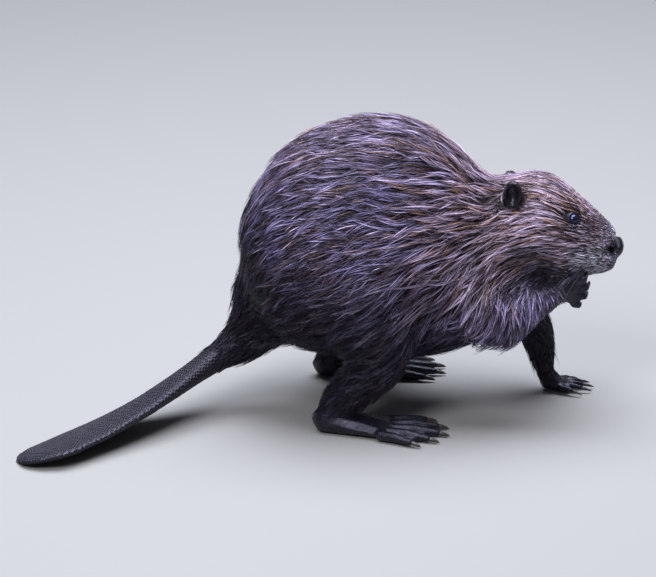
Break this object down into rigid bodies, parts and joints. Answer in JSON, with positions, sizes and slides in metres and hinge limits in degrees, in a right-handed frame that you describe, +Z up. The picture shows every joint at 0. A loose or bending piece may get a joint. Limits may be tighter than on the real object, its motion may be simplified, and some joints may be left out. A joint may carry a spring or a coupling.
{
  "type": "beaver",
  "caption": "Life-size still beaver in wet-looking dark brown fur, hunched on its hind feet with one forepaw raised to its mouth and its flat scaly tail swept to one side.",
  "frame": {"origin": "on the floor under the middle of the whole animal's bounding box", "axes": "+X towards the nose, +Y towards the beaver's left, +Z up"},
  "size_m": [0.7078, 0.3872, 0.358],
  "materials": {
    "coat": "wet-looking clumped fur, dark brown to near black with reddish tips",
    "tail_scales": "fine dark scales, satin",
    "paw": "dark bare skin, satin",
    "ear": "dark thin skin with short hair",
    "nose": "dark damp skin",
    "eye": "dark glossy",
    "claw": "dark horn"
  },
  "bodies": {
    "root": {"ear_left": "ear", "ear_right": "ear", "eye_left": "eye", "eye_right": "eye", "foreclaw_left_1": "claw", "foreclaw_left_2": "claw", "foreclaw_left_3": "claw", "foreclaw_left_4": "claw", "foreclaw_left_5": "claw", "foreclaw_right_1": "claw", "foreclaw_right_2": "claw", "foreclaw_right_3": "claw", "foreclaw_right_4": "claw", "foreclaw_right_5": "claw", "foreleg_left": "coat", "foreleg_right": "coat", "forepaw_left": "paw", "forepaw_right": "paw", "head": "coat", "hindclaw_left_1": "claw", "hindclaw_left_2": "claw", "hindclaw_left_3": "claw", "hindclaw_left_4": "claw", "hindclaw_left_5": "claw", "hindclaw_right_1": "claw", "hindclaw_right_2": "claw", "hindclaw_right_3": "claw", "hindclaw_right_4": "claw", "hindclaw_right_5": "claw", "hindfoot_left": "paw", "hindfoot_right": "paw", "hindleg_left": "coat", "hindleg_right": "coat", "neck": "coat", "nose": "nose", "tail_paddle": "tail_scales", "tail_root": "coat", "trunk": "coat"}
  },
  "joints": []
}
